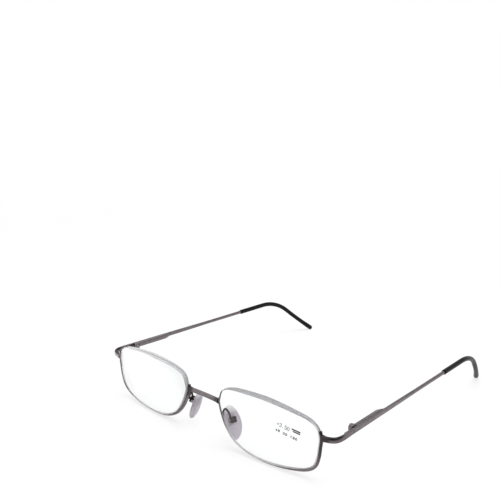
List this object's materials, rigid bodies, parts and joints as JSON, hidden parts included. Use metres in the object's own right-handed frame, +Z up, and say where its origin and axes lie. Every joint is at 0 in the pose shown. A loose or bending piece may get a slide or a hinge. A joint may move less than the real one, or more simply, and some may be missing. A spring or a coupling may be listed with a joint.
{
  "type": "half eye reading glasses",
  "caption": "Half eye reading glasses: slim metal rims under bare-topped lenses, rocking nose pads, and temples that fold and flex on spring hinges.",
  "frame": {"origin": "middle of the footprint, on the table that the glasses stand on, halfway from the lenses' front to the temples' ends", "axes": "+Z up; -Y the way the lenses look; +Y back along the temples; +X towards the wearer's left"},
  "size_m": [0.1334, 0.142, 0.0278],
  "materials": {
    "gunmetal": "satin gunmetal lacquer over nickel alloy",
    "lens": "clear polished lens with a frosted edge",
    "nylon": "clear nylon",
    "pad_vinyl": "soft translucent vinyl",
    "pad_core": "hard clear plastic",
    "screw_steel": "plain steel",
    "plunger_steel": "plain steel",
    "tip_plastic": "glossy black tip cover"
  },
  "bodies": {
    "front": {"bridge": "gunmetal", "lens_left": "lens", "rim_left": "gunmetal", "rim_liner_left": "nylon", "top_cord_left": "nylon", "pad_arm_left": "gunmetal", "pad_box_left": "gunmetal", "pad_screw_left": "screw_steel", "end_piece_left": "gunmetal", "hinge_leaf_left": "gunmetal", "hinge_screw_left": "screw_steel", "lens_right": "lens", "rim_right": "gunmetal", "rim_liner_right": "nylon", "top_cord_right": "nylon", "pad_arm_right": "gunmetal", "pad_box_right": "gunmetal", "pad_screw_right": "screw_steel", "end_piece_right": "gunmetal", "hinge_leaf_right": "gunmetal", "hinge_screw_right": "screw_steel"},
    "left_pad": {"nose_pad_left": "pad_vinyl", "pad_core_left": "pad_core"},
    "left_plunger": {"hinge_plunger_left": "plunger_steel", "plunger_nut_left": "plunger_steel"},
    "left_temple": {"hinge_spring_left": "plunger_steel", "spring_case_left": "gunmetal", "temple_left": "gunmetal", "temple_tip_left": "tip_plastic"},
    "right_pad": {"nose_pad_right": "pad_vinyl", "pad_core_right": "pad_core"},
    "right_plunger": {"hinge_plunger_right": "plunger_steel", "plunger_nut_right": "plunger_steel"},
    "right_temple": {"hinge_spring_right": "plunger_steel", "spring_case_right": "gunmetal", "temple_right": "gunmetal", "temple_tip_right": "tip_plastic"}
  },
  "joints": [
    {"name": "left_temple_fold", "type": "hinge", "parent": "front", "child": "left_plunger", "pos_m": [0.06385, -0.0526, 0.01951], "axis": [0, -0.0131, 0.9999], "range_deg": [0, 86]},
    {"name": "left_temple_flex", "type": "slide", "parent": "left_plunger", "child": "left_temple", "axis": [-0.0454, 0.9989, 0.0131], "range_m": [0, 0.0012], "stiffness_N_per_m": 1500, "springref_m": -0.0008},
    {"name": "left_pad_rock", "type": "hinge", "parent": "front", "child": "left_pad", "pos_m": [0.0132, -0.06238, 0.01009], "axis": [0.3537, 0.9321, 0.0786], "range_deg": [-8, 8]},
    {"name": "right_temple_fold", "type": "hinge", "parent": "front", "child": "right_plunger", "pos_m": [-0.06385, -0.0526, 0.01951], "axis": [0, 0.0131, -0.9999], "range_deg": [0, 76]},
    {"name": "right_temple_flex", "type": "slide", "parent": "right_plunger", "child": "right_temple", "axis": [0.0454, 0.9989, 0.0131], "range_m": [0, 0.0012], "stiffness_N_per_m": 1500, "springref_m": -0.0008},
    {"name": "right_pad_rock", "type": "hinge", "parent": "front", "child": "right_pad", "pos_m": [-0.0132, -0.06238, 0.01009], "axis": [0.3537, -0.9321, -0.0786], "range_deg": [-8, 8]}
  ]
}
